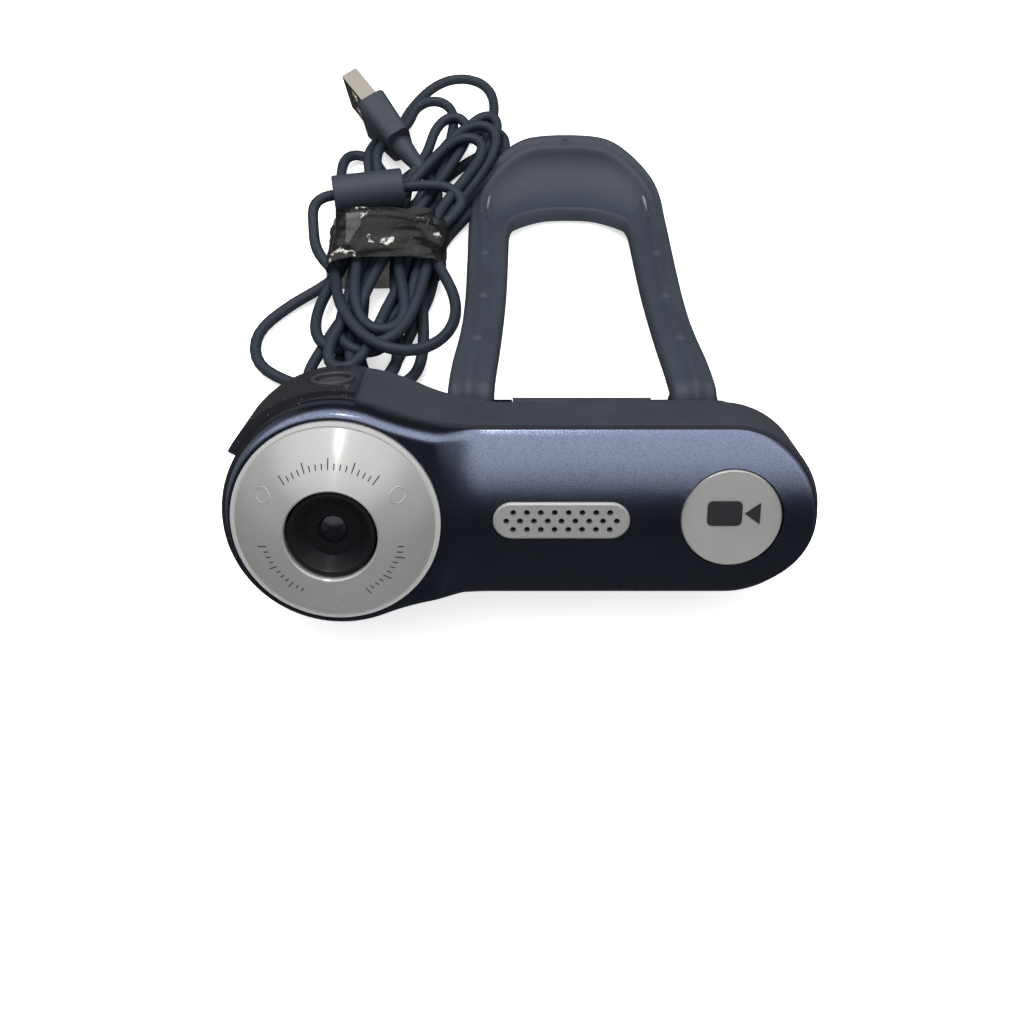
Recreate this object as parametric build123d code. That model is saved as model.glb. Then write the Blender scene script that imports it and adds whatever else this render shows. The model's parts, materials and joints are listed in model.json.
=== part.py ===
from build123d import *
import os
from math import atan2, cos, pi, radians, sin, sqrt, tan

os.makedirs("parts", exist_ok=True)

# Driving dimensions, in millimetres and degrees.
# The camera is drawn in its own frame: X to the right seen from the front, Y back along the lens axis, Z up,
# with the origin on the lens axis at the rim of the focus ring. It is then leaned back on the table.
lean = 32.5
origin_x = 34.0
origin_y = 64.5

# Camera body
head_radius = 21.5
tail_radius = 16.0
tail_x = 72.4
neck_x = 28.0
crown_radius = 34.0
wall = 1.8
seam_y = 4.8
seam_gap = 0.15
rear_head = 21.3
rear_tail = 16.6
head_face = -0.6
rear_y = 24.0
rear_round = 4.5
lens_height = 29.1

# Focus ring and lens
ring_radius = 19.1
rim_inner = 18.2
dome_radius = 25.0
dome_centre_y = 15.55
ring_hole = 8.35
seat_radius = 19.45
barrel_radius = 7.9
thread_radius = 6.0
thread_gap = 0.05
element_radius = 4.45
board_thickness = 1.2

# Front details
grille_x = 41.1
grille_length = 25.0
grille_height = 7.0
hole_radius = 0.55
hole_pitch = 2.52
row_pitch = 1.65
badge_x = 72.3
badge_radius = 9.3
badge_y = 0.9

# Snapshot button on top of the head
band_radius = 23.1
band_start = 80.0
band_end = 150.0
button_y = 13.5
button_angle = 3.0
button_radius = 3.0
collar_radius = 4.2

# Stand hinge and loop
hinge_y = 31.5
hinge_z = 10.0
pin_radius = 2.0
pin_gap = 0.05
knuckle_radius = 4.0
eye_radius = 4.6
loop_x = 46.2
leg_angle = 15.76
web_angle = 64.0
leg_origin = (24.0, 14.4)
outline_origin = (24.0, 17.3)
outline_angle = 39.0
knee_y = 27.0
leg_length = 101.2
web_length = 18.0
knee_bend = 3.0
web_bend = 30.0
strip_thickness = 3.6
wire_radius = 1.0
eye_inner = 17.9
eye_outer = 27.3

# Cord
cord_diameter = 2.7
plug_shell = (12.0, 4.5, 12.0)
ferrite_radius = 4.75
plug_roll = -12.0
ferrite_length = 17.6

screw_places = [(-16.4, -3.0), (20.5, -11.5), (82.0, 0.0)]
exit_x = -2.0
exit_z = 4.0

on_table = Pos(-origin_x, -origin_y, lens_height) * Rot(-lean, 0, 0)
made = {}


def keep(name, shape, placed=True):
    made[name] = on_table * shape if placed else shape


# Profiles and helpers
def front_plane(y):
    return Plane(origin=(0, y, 0), x_dir=(1, 0, 0), z_dir=(0, -1, 0))


def slab(sketch, y_front, y_back):
    return extrude(front_plane(y_back) * sketch, amount=y_back - y_front)


def outline(inset, head_size=head_radius, tail_size=tail_radius):
    """Keyhole outline of the body: round head, concave neck, straight tail with a round end."""
    head = head_size - inset
    half = tail_size - inset
    neck = (neck_x**2 - head_size**2 + tail_size**2) / (2 * (head_size - tail_size)) + inset
    share = head / (head + neck)
    touch_x = neck_x * share
    touch_z = (half + neck) * share
    mid_angle = (pi / 2 + atan2(touch_z, touch_x)) / 2
    mid = (neck_x - neck * cos(mid_angle), half + neck - neck * sin(mid_angle))
    edges = [
        ThreePointArc((touch_x, touch_z), (-head, 0), (touch_x, -touch_z)),
        ThreePointArc((touch_x, -touch_z), (mid[0], -mid[1]), (neck_x, -half)),
        Line((neck_x, -half), (tail_x, -half)),
        ThreePointArc((tail_x, -half), (tail_x + half, 0), (tail_x, half)),
        Line((tail_x, half), (neck_x, half)),
        ThreePointArc((neck_x, half), mid, (touch_x, touch_z)),
    ]
    return make_face(edges)


def turned(*points):
    """A ring or disc turned about the lens axis from (radius, y) points."""
    return revolve(make_face(Polyline(*points, close=True)), Axis.Y, revolution_arc=360)


def disc(radius, y_front, y_back, x=0.0, z=0.0):
    return slab(Pos(x, z) * Circle(radius), y_front, y_back)


def block(size_x, size_z, y_front, y_back, x=0.0, z=0.0, corner=0.0):
    shape = RectangleRounded(size_x, size_z, corner) if corner else Rectangle(size_x, size_z)
    return slab(Pos(x, z) * shape, y_front, y_back)


def crown(radius):
    return Pos(35, crown_radius, 0) * Rot(0, 90, 0) * Cylinder(radius, 160)


def cross_bar(radius, x_low, x_high, y=hinge_y, z=hinge_z):
    """A round bar along X."""
    return Pos((x_low + x_high) / 2, y, z) * Rot(0, 90, 0) * Cylinder(radius, x_high - x_low)


def dome_y(radius, sphere):
    return dome_centre_y - sqrt(sphere**2 - radius**2)


# Front shell: crowned tail blended to the head's raised rim, hollow, with seats for what it carries.
def front_shell():
    tail = slab(outline(0), -1, seam_y) & crown(crown_radius)
    rim = disc(head_radius, head_face, seam_y)
    rim = fillet(rim.edges().sort_by(Axis.Y)[0], 1.4)
    shell = tail + rim
    hollow = slab(outline(wall), 2.6, seam_y + 1) & crown(crown_radius - 2.2)
    shell -= hollow
    shell += disc(badge_radius + 1.6, badge_y + 1.4, 4.2, badge_x)
    for x, z in screw_places:
        boss_y = crown_radius - sqrt(crown_radius**2 - z**2) + 1.0
        shell += disc(2.6, boss_y, 9.8, x, z)
        shell -= disc(1.1, 4.0, 11, x, z)
    shell -= disc(seat_radius, -2, 1.3)
    shell -= disc(15.0, -2, 5)
    shell -= slab(Pos(grille_x, 0) * SlotOverall(grille_length + 0.3, grille_height + 0.3), -2, 1.1)
    shell -= disc(2.5, -2, 4, grille_x)
    shell -= disc(badge_radius + 0.25, -2, badge_y + 1.5, badge_x)
    return shell


def shoulder():
    """The rear shell's fuller shoulder beside the button band, running out along the neck."""
    sections = []
    front_line = [(3.0, 21.6), (7.5, 20.6), (12.0, 19.0), (17.0, 17.5), (24.0, 16.7), (31.0, 16.4)]
    back_line = [(3.0, 22.8), (7.5, 22.1), (12.0, 20.6), (17.0, 18.5), (24.0, 16.6), (31.0, 15.6)]
    for y, line in ((seam_y + seam_gap, front_line), (rear_y - 1.5, back_line)):
        edges = [Spline(*line), Polyline(line[-1], (31.0, 13.0), (3.0, 13.0), line[0])]
        sections.append(front_plane(y) * make_face(edges))
    return loft(sections)


def rear_shell():
    shell = slab(outline(0, rear_head, rear_tail), seam_y + seam_gap, rear_y)
    shell = fillet(shell.faces().sort_by(Axis.Y)[-1].edges(), rear_round)
    shell += shoulder() - button_band()
    hollow = slab(outline(wall, rear_head, rear_tail), 0, rear_y - wall)
    shell -= fillet(hollow.faces().sort_by(Axis.Y)[-1].edges(), rear_round - wall)
    for x, z in screw_places:
        shell += disc(3.4, 10.0, rear_y - 1, x, z)
        shell -= disc(2.6, 12.0, rear_y + 1, x, z)
        shell -= disc(1.3, 9.0, 13, x, z)
    shell -= disc(3.4, rear_y - 4, rear_y + 1, exit_x, exit_z)
    shell -= button_at(Pos(0, button_y, 21) * Cylinder(collar_radius + 0.02, 6))
    return shell


def button_at(shape):
    """Puts a shape drawn on the head's top centre line at the button's place."""
    return Rot(0, -button_angle, 0) * shape


def button_band():
    ring = Circle(band_radius) - Circle(rear_head)
    reach = 60.0
    corners = [(0, 0)]
    for angle in (band_start, (band_start + band_end) / 2, band_end):
        corners.append((reach * cos(radians(angle)), reach * sin(radians(angle))))
    sector = ring & make_face(Polyline(*corners, close=True))
    band = slab(sector, seam_y + seam_gap, rear_y - 1.0)
    band = fillet(band.edges().filter_by(Axis.Y), 0.35)
    return band - button_at(Pos(0, button_y, 22) * Cylinder(collar_radius + 0.02, 8))


keep("front_shell", front_shell())
keep("rear_shell", rear_shell())
keep("button_band", button_band())


# Snapshot button, its collar, the switch below it and the small board that carries the switch.
collar = Pos(0, button_y, 21.9) * (Cylinder(collar_radius, 3.0) - Cylinder(button_radius + 0.3, 4))
keep("button_collar", button_at(fillet(collar.edges().group_by(Axis.Z)[-1], 0.3)))

cap = Pos(0, button_y, 21.0) * Cylinder(button_radius, 3.2)
cap -= Pos(0, button_y, 22.6 + 7.4) * Sphere(8.0)
cap += Pos(0, button_y, 19.8) * Cylinder(3.8, 0.8)
keep("snapshot_button", button_at(cap))

switch = Pos(0, button_y, 16.4) * Box(6, 6, 3.2) + Pos(0, button_y, 18.25) * Cylinder(1.6, 0.6)
keep("tact_switch", button_at(switch))
keep("button_board", button_at(Pos(0, button_y, 14.3) * Box(13, 10, 1.0)))


# Focus ring: a domed sheet ring with a short collar at its hole, and a clear rim round it.
def focus_ring():
    inner = dome_radius - 1.2
    mouth = ring_hole + 0.75
    points = {
        "rim": (rim_inner, dome_y(rim_inner, dome_radius)),
        "hole": (ring_hole + 0.3, dome_y(ring_hole + 0.3, dome_radius)),
        "mid": (13.0, dome_y(13.0, dome_radius)),
        "in_mouth": (mouth, dome_y(mouth, inner)),
        "in_mid": (13.0, dome_y(13.0, inner)),
        "in_rim": (rim_inner - 1.0, dome_y(rim_inner - 1.0, inner)),
    }
    chamfer_y = points["hole"][1] + 0.3
    edges = [
        ThreePointArc(points["rim"], points["mid"], points["hole"]),
        Polyline(
            points["hole"], (ring_hole, chamfer_y), (ring_hole, -3.0), (mouth, -3.0), points["in_mouth"]
        ),
        ThreePointArc(points["in_mouth"], points["in_mid"], points["in_rim"]),
        Polyline(points["in_rim"], (rim_inner - 1.0, 0.9), (rim_inner, 0.9), points["rim"]),
    ]
    ring = revolve(make_face(edges), Axis.Y, revolution_arc=360)
    skirt = turned((13.6, -4.1), (14.6, -4.1), (14.6, 4.2), (13.6, 4.2))
    web = turned((14.5, 0.1), (17.4, 0.1), (17.4, 0.9), (14.5, 0.9))
    return ring + skirt + web


keep("focus_ring", focus_ring())
rim_top = dome_y(rim_inner, dome_radius)
clear_rim = turned(
    (rim_inner, rim_top), (18.5, rim_top), (ring_radius, -1.2), (ring_radius, 0.9), (rim_inner, 0.9),
)
keep("clear_rim", clear_rim)


# Lens barrel with its glass, spacer and retaining ring.
barrel = turned(
    (7.5, -7.2), (barrel_radius, -6.9), (barrel_radius, -0.6), (thread_radius, -0.6), (thread_radius, 7.4),
    (element_radius, 7.4), (element_radius, -3.9), (2.75, -3.9), (2.75, -4.4), (5.0, -4.5), (5.4, -5.0),
    (6.9, -6.9), (7.2, -7.2),
)
keep("lens_barrel", barrel)


def lens_element(front, back, front_bulge, back_bulge, clear_radius):
    """A round glass with curved faces, its edge from y=front to y=back."""
    glass = disc(element_radius, front, back)
    for y, bulge, side in ((front, front_bulge, -1), (back, back_bulge, 1)):
        sphere = (clear_radius**2 + bulge**2) / (2 * abs(bulge))
        ball = Pos(0, y + side * (bulge - sphere * (1 if bulge > 0 else -1)), 0) * Sphere(sphere)
        low, high = sorted([y, y + side * 3 * (1 if bulge > 0 else -1)])
        cap = ball & disc(clear_radius + 0.5, low, high)
        glass = glass + cap if bulge > 0 else glass - cap
    return glass


keep("front_lens", lens_element(-3.9, -2.2, 0.9, -0.7, 2.7))
keep("lens_spacer", turned((3.2, -2.2), (element_radius, -2.2), (element_radius, 0.6), (3.2, 0.6)))
keep("rear_lens", lens_element(0.6, 2.6, 0.5, 0.6, 3.0))
keep("lens_retainer", turned((3.3, 2.6), (element_radius, 2.6), (element_radius, 4.4), (3.3, 4.4)))


# Sensor side: holder with a round bore and a square foot, filter, sensor and boards.
board_y = 11.5
bore = thread_radius + thread_gap
holder = disc(8.2, 0.4, 9.0) + block(17, 17, 8.4, board_y, corner=1.0)
holder -= disc(bore, 0, 9.0)
holder -= block(9.2, 9.2, 9.0, 9.6)
holder -= block(9.8, 9.8, 9.6, board_y + 1)
keep("lens_holder", holder)
keep("ir_filter", block(9.2, 9.2, 9.0, 9.55))
keep("image_sensor", block(8.0, 8.0, 10.3, board_y, corner=0.3))
keep("sensor_board", block(22, 22, board_y, board_y + board_thickness, corner=1.0))
keep("main_board", block(52, 22, board_y, board_y + board_thickness, 51.5, corner=1.0))
keep("flex_cable", block(19.0, 7.0, board_y + board_thickness, board_y + board_thickness + 0.3, 18.0, -3.0))

chips = block(10, 10, 10.0, board_y, 60, 0)
chips += block(7, 7, 10.3, board_y, 36, 5.5)
chips += block(5, 6, 10.2, board_y, 48, -6)
keep("circuit_chips", chips)
keep("clock_crystal", block(10, 3.8, 9.2, board_y, 70, -7.5, corner=1.8))
header_y = board_y + board_thickness
keep("cable_header", block(9, 5, header_y, header_y + 4.0, 33, 7.0))
inner_path = FilletPolyline(
    (exit_x, 20.8, exit_z), (exit_x, 18.4, exit_z), (14, 18.4, 7), (33, 18.4, 7), (33, 16.7, 7),
    radius=[1.0, 4.0, 0.8],
)
inner_start = Plane(origin=inner_path @ 0, z_dir=inner_path % 0)
keep("inner_lead", sweep(inner_start * Circle(0.8), path=inner_path))


# Microphone: grille, cloth, capsule and rubber boot.
def mic_grille():
    plate = slab(Pos(grille_x, 0) * SlotOverall(grille_length, grille_height), -0.5, 0.9)
    plate = chamfer(plate.edges().group_by(Axis.Y)[0], 0.35)
    for row, count in ((-1, 8), (0, 9), (1, 8)):
        for i in range(count):
            x = grille_x + (i - (count - 1) / 2) * hole_pitch
            plate -= disc(hole_radius, -2, 2, x, row * row_pitch)
    return plate


keep("mic_grille", mic_grille())
keep("mic_cloth", slab(Pos(grille_x, 0) * SlotOverall(grille_length - 1, grille_height - 1), 0.9, 1.1))
boot = disc(4.3, 2.6, 6.4, grille_x) - disc(3.0, 3.2, 7, grille_x) - disc(2.0, 2, 4, grille_x)
keep("mic_boot", boot)
keep("mic_capsule", disc(3.0, 3.2, 5.9, grille_x))

# Round badge with a plain raised pictogram of a camera: a rounded box and a wedge.
badge = disc(badge_radius, badge_y, badge_y + 1.5, badge_x)
keep("badge_disc", chamfer(badge.edges().group_by(Axis.Y)[0], 0.2))
symbol = Pos(badge_x - 1.3, 1.0) * RectangleRounded(6.4, 4.8, 1.0)
wedge = make_face(Polyline((2.4, 1.0), (5.2, 3.1), (5.2, -1.1), close=True))
symbol_y = badge_y - 0.15
pictogram = slab(symbol, symbol_y, badge_y) + slab(Pos(badge_x, 0) * wedge, symbol_y, badge_y)
keep("badge_symbol", pictogram)

# Housing screws, driven in from the back.
screws = []
for x, z in screw_places:
    screw = disc(2.3, 12.0, 13.6, x, z) + disc(1.1, 5.0, 12.0, x, z)
    screws.append(screw - block(2.6, 0.5, 12.9, 14, x, z) - block(0.5, 2.6, 12.9, 14, x, z))
keep("housing_screws", Compound(screws))


# Hinge bracket on the back of the tail, between the legs, with its foot on the table.
bracket_low = loop_x - 14.0
bracket_high = loop_x + 14.0


def table_z(y):
    """Height in the camera's frame of the table under a point y behind the lens rim."""
    return (y * sin(radians(lean)) - lens_height) / cos(radians(lean))


def hinge_bracket():
    side = [(rear_y, 12.5), (hinge_y, hinge_z + knuckle_radius - 0.6), (hinge_y + 3.2, hinge_z), (36.0, 2.0)]
    side += [(37.0, table_z(37.0) + 1.9), (28.0, table_z(28.0) + 1.9), (rear_y, -11.0)]
    plane = Plane(origin=(bracket_low, 0, 0), x_dir=(0, 1, 0), z_dir=(1, 0, 0))
    body = extrude(plane * make_face(Polyline(*side, close=True)), amount=bracket_high - bracket_low)
    body += cross_bar(knuckle_radius, bracket_low, bracket_high)
    body -= cross_bar(pin_radius + pin_gap, bracket_low - 1, bracket_high + 1)
    pocket = [(rear_y - 1, 7.5), (27.0, 7.5), (27.0, 3.5), (33.5, 1.5)]
    pocket += [(34.0, -9.0), (28.0, -12.5), (rear_y - 1, -9.0)]
    inner_plane = Plane(origin=(bracket_low + 2.5, 0, 0), x_dir=(0, 1, 0), z_dir=(1, 0, 0))
    return body - extrude(inner_plane * make_face(Polyline(*pocket, close=True)), amount=23.0)


keep("hinge_bracket", hinge_bracket())
foot_thickness = 1.9
foot_side = [(y, table_z(y)) for y in (28.3, 36.8)]
foot_side += [(y, table_z(y) + foot_thickness) for y in (36.8, 28.3)]
foot_plane = Plane(origin=(bracket_low + 1, 0, 0), x_dir=(0, 1, 0), z_dir=(1, 0, 0))
keep("foot_pad", extrude(foot_plane * make_face(Polyline(*foot_side, close=True)), amount=26.0))
plate = block(31.8, 6.0, rear_y, rear_y + 0.9, 59.2, 12.5, corner=2.0)
keep("cover_plate", plate - block(28.4, 20, rear_y - 1, rear_y + 2, loop_x, 2.6))

# Hinge pin with a cap at each end, and a friction washer beside each side of the bracket.
keep("hinge_pin", cross_bar(pin_radius, loop_x - eye_outer - 0.3, loop_x + eye_outer + 0.3))
washers = []
caps = []
for side in (-1, 1):
    faces = sorted([loop_x + side * 14.1, loop_x + side * (eye_inner - 0.1)])
    washers.append(cross_bar(3.6, *faces) - cross_bar(pin_radius + 0.05, loop_x - 40, loop_x + 40))
    ends = sorted([loop_x + side * (eye_outer + 0.3), loop_x + side * (eye_outer + 1.3)])
    caps.append(cross_bar(3.4, *ends))
keep("friction_washers", Compound(washers))
keep("pin_caps", Compound(caps))


# Stand loop: a flat strip bent in side view, cut to the loop's outline.
def side_points(offset):
    """Corners of the strip's side profile, offset square to it, as (y, z)."""
    leg = (cos(radians(leg_angle)), sin(radians(leg_angle)))
    rise = (knee_y - leg_origin[0]) / leg[0]
    knee = (knee_y, leg_origin[1] + rise * leg[1])
    corner = (leg_origin[0] + leg_length * leg[0], leg_origin[1] + leg_length * leg[1])
    tip = (corner[0] + web_length * cos(radians(web_angle)), corner[1] + web_length * sin(radians(web_angle)))
    centre = [(hinge_y, hinge_z), knee, corner, tip]
    angles = [atan2(b[1] - a[1], b[0] - a[0]) for a, b in zip(centre, centre[1:])]
    moved = []
    for i, (y, z) in enumerate(centre):
        before = angles[max(i - 1, 0)]
        after = angles[min(i, 2)]
        mid = (before + after) / 2
        length = offset / cos((after - before) / 2)
        moved.append((y - sin(mid) * length, z + cos(mid) * length))
    return moved


def side_edge(offset):
    radii = [knee_bend + offset, web_bend - offset]
    return FilletPolyline(*side_points(offset), radius=radii)


def loop_outline():
    """Outline of the loop seen square to its middle direction, as (x from the centre, along)."""
    half = [
        Line((27.2, -6.0), (27.2, -4.0)),
        ThreePointArc((27.2, -4.0), (24.9, 40.0), (25.2, 85.9)),
        ThreePointArc((25.2, 85.9), (21.9, 96.9), (15.6, 103.0)),
        ThreePointArc((15.6, 103.0), (8.0, 106.3), (0, 107.4)),
        Line((0, 107.4), (0, 81.8)),
        ThreePointArc((0, 81.8), (5.9, 80.9), (11.5, 77.9)),
        ThreePointArc((11.5, 77.9), (14.0, 75.3), (14.9, 71.5)),
        ThreePointArc((14.9, 71.5), (15.3, 40.0), (17.7, -4.0)),
        Polyline((17.7, -4.0), (17.7, -6.0), (27.2, -6.0)),
    ]
    right = make_face(half)
    return right + mirror(right, Plane.YZ)


def stand_loop():
    plane = Plane(origin=(loop_x - 30, 0, 0), x_dir=(0, 1, 0), z_dir=(1, 0, 0))
    top = side_edge(strip_thickness / 2)
    low = side_edge(-strip_thickness / 2)
    ends = [Line(top @ 0, low @ 0), Line(top @ 1, low @ 1)]
    strip = extrude(plane * make_face([top, low] + ends), amount=60)
    middle = radians(outline_angle)
    cut_plane = Plane(origin=(loop_x, *outline_origin), x_dir=(1, 0, 0), z_dir=(0, -sin(middle), cos(middle)))
    loop = strip & extrude(cut_plane * loop_outline(), amount=60, both=True)
    return loop - cross_bar(eye_radius + 0.02, loop_x - 40, loop_x + 40)


keep("stand_loop", stand_loop())
eyes = []
for side in (-1, 1):
    faces = sorted([loop_x + side * eye_inner, loop_x + side * eye_outer])
    eyes.append(cross_bar(eye_radius, *faces) - cross_bar(pin_radius, loop_x - 40, loop_x + 40))
keep("leg_eyes", Compound(eyes))


# Steel wire moulded inside the loop, from leg to leg.
def tube(points, radius, radii=None, label=None):
    """A round tube along straight runs joined by arcs, as large as the runs allow."""
    corners = []
    for a, b, c in zip(points, points[1:], points[2:]):
        before, after = Vector(b) - Vector(a), Vector(c) - Vector(b)
        half_turn = radians(before.get_angle(after)) / 2
        corners.append(0.45 * min(before.length, after.length) / tan(half_turn))
    for i, fixed in (radii or {}).items():
        corners[i] = fixed
    path = FilletPolyline(*points, radius=corners)
    shape = sweep(Plane(origin=path @ 0, z_dir=path % 0) * Circle(radius), path=path)
    if label:
        print(label, "radii", [round(r, 1) for r in corners], "length", round(path.length, 1))
        ratio = shape.volume / (pi * radius**2 * path.length)
        print(label, "volume over section times length", round(ratio, 4))
    return shape


def strip_point(half_width, along):
    """A point on the strip's middle surface, at a distance along it from the hinge."""
    middle = side_edge(0)
    point = middle @ (along / middle.length)
    return (loop_x + half_width, point.X, point.Y)


def stand_wire():
    half = [strip_point(22.4, 8.5)]
    for half_width, along in ((20.7, 33), (20.3, 62), (20.9, 90), (19.8, 102), (15.9, 107.6), (8.0, 112.4)):
        half.append(strip_point(half_width, along))
    other = [(2 * loop_x - x, y, z) for x, y, z in reversed(half)]
    return tube(half + other, wire_radius)


keep("stand_wire", stand_wire())

# Strain relief behind the head, and the cord from it to the tied hank, lying on the table.
relief_length = 14.0
relief = turned(
    (1.35, -2.8), (4.6, -2.8), (4.6, -1.8), (3.4, -1.8), (3.4, 1.0),
    (1.9, relief_length), (1.35, relief_length),
)
keep("strain_relief", Pos(exit_x, rear_y, exit_z) * relief)

# Points of the cord's free stretch on the table, in the part's own frame.
# The first is the strain relief's end.
lead_route = [
    (-36.0, -30.3, 12.06),
    (-36.5, -20.0, 6.2),
    (-41.5, -10.5, 2.0),
    (-52.0, -6.5, 1.5),
    (-61.5, -0.5, 1.5),
    (-63.0, 10.0, 1.5),
    (-56.0, 19.0, 1.5),
    (-46.5, 24.5, 3.0),
]
relief_end = on_table * Pos(exit_x, rear_y + relief_length, exit_z)
print("relief end", relief_end.position)
lead = tube(lead_route, cord_diameter / 2, label="lead")
keep("cord_lead", lead, placed=False)


# USB plug: its own X axis runs out of the plug's mouth, and its wide side stands upright.
plug_place = Pos(-38.6, 85.0, 8.3) * Rot(0, 0, 123.5) * Rot(0, -7, 0) * Rot(plug_roll, 0, 0)
mould_length = 13.0


def plug_section(x):
    return Plane(origin=(x, 0, 0), x_dir=(0, 1, 0), z_dir=(1, 0, 0))


front_section = plug_section(0) * RectangleRounded(8.0, 15.0, 2.0)
back_section = plug_section(-mould_length) * RectangleRounded(6.6, 10.4, 2.0)
mould = loft([front_section, back_section])
mould -= Pos(-2, 0, 0) * Box(4, plug_shell[1], plug_shell[2])
neck = Pos(-mould_length - 5.5, 0, 0) * Rot(0, 90, 0) * Cone(1.7, 2.9, 11.0)
mould += neck
keep("usb_overmould", plug_place * mould, placed=False)
tin = Pos(4, 0, 0) * Box(plug_shell[0] + 4, plug_shell[1], plug_shell[2])
tin -= Pos(4.2, 0, 0) * Box(plug_shell[0] + 4, plug_shell[1] - 0.6, plug_shell[2] - 0.6)
for height in (-3.0, 3.0):
    tin -= Pos(6.2, 0, height) * Box(2.4, 8, 2.4)
keep("usb_shell", plug_place * tin, placed=False)
tongue = Pos(3.5, 0.95, 0) * Box(14.0, 1.9, 11.0)
keep("usb_tongue", plug_place * tongue, placed=False)
contacts = [plug_place * Pos(7.5, -0.1, z) * Box(6.0, 0.2, 1.0) for z in (-3.5, -1.2, 1.2, 3.5)]
keep("usb_contacts", Compound(contacts), placed=False)

# Ferrite bead on the cord, lying across the hank.
bead_place = Pos(-38.0, 50.6, 10.5) * Rot(0, 0, 10) * Rot(0, 90, 0)
bead = Cylinder(ferrite_radius, ferrite_length)
bead = fillet(bead.edges().filter_by(GeomType.CIRCLE), 0.6)
keep("ferrite_bead", bead_place * bead, placed=False)

# The tied hank: the outer shape of the cord's turns, held by a band of tape at its waist.
hank_outline = [
    (-48, -14.5), (-30, -17), (-16, -8), (-13.7, 8), (-18.7, 26.5), (-18.8, 40), (-14, 56.5), (-10, 69.5),
    (-2, 81), (-2, 91), (-12, 110), (-25, 105), (-33, 88), (-42, 78), (-48.5, 70), (-47.8, 53), (-46.2, 42),
    (-46.2, 27), (-49, 18), (-51, -4),
]
tape_low = (-46.9, 26.5, 0.0)
tape_high = (-18.1, 42.0, 11.6)
tape_thickness = 0.5
tape_size = [h - l for l, h in zip(tape_low, tape_high)]
tape_centre = [(h + l) / 2 for l, h in zip(tape_low, tape_high)]
tape_block = Pos(*tape_centre) * Box(*tape_size)
inner_size = (tape_size[0] - 2 * tape_thickness, tape_size[1] + 2, tape_size[2] - 2 * tape_thickness)
tape_hole = Pos(*tape_centre) * Box(*inner_size)
keep("hank_tape", tape_block - tape_hole, placed=False)
plan = make_face(Polyline(*hank_outline, close=True))
plan = fillet(plan.vertices(), 3.0)
hank = extrude(Pos(0, 0, tape_thickness) * plan, amount=10.5)
hank -= tape_block - tape_hole
for name in ("usb_overmould", "ferrite_bead", "cord_lead"):
    hank -= made[name]
hank = hank.solids().sort_by(SortBy.VOLUME)[-1]
keep("cord_hank", hank, placed=False)

bare = made["stand_loop"].bounding_box()
print("loop lowest", round(bare.min.Z, 2), "rearmost", round(bare.max.Y, 2))

for name, shape in made.items():
    export_step(shape, f"parts/{name}.step")
whole = Compound(list(made.values())).bounding_box()
print("nodes", len(made), "box", [round(v, 2) for v in (*whole.min, *whole.max)])
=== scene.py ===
import json
from math import cos, pi, radians, sin, sqrt, tan
import bpy
import numpy as np
from mathutils import Matrix, Vector, noise


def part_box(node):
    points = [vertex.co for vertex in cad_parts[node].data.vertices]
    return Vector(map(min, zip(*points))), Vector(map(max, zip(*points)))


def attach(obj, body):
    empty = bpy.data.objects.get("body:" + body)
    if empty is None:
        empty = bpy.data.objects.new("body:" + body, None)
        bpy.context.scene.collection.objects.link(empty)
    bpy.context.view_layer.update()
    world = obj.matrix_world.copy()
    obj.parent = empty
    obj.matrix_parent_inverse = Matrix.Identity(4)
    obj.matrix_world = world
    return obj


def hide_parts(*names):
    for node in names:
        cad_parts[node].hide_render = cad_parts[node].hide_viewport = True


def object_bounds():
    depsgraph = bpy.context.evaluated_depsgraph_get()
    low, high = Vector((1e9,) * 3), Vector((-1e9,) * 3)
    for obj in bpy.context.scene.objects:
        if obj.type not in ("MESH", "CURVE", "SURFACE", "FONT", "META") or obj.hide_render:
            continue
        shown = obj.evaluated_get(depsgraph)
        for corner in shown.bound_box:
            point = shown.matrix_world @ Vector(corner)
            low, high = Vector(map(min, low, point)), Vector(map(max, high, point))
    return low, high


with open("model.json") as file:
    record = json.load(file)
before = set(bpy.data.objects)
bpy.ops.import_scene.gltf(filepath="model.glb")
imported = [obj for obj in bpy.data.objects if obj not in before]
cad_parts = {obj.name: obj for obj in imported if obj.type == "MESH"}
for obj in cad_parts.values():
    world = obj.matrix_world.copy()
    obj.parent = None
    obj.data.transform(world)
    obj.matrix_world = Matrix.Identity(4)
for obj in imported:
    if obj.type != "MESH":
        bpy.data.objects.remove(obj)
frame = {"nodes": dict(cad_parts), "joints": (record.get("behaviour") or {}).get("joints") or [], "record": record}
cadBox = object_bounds()
nodes = frame["nodes"]
joints = {j["name"]: j for j in frame["joints"]}
mm = 0.001
print("frame loaded:", len(nodes), "nodes")

# the camera's own axes: X along the body, Y back along the lens axis, Z up its face
lensPoint = Vector(joints["focus_turn"]["pos_m"])
backward = -Vector(joints["focus_turn"]["axis"])
sideways = Vector((1, 0, 0))
upward = sideways.cross(backward)
bodyMatrix = Matrix.Translation(lensPoint) @ Matrix((sideways, backward, upward)).transposed().to_4x4()


def onBody(x, y, z):
    return bodyMatrix @ (Vector((x, y, z)) * mm)


# camera and light

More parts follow.
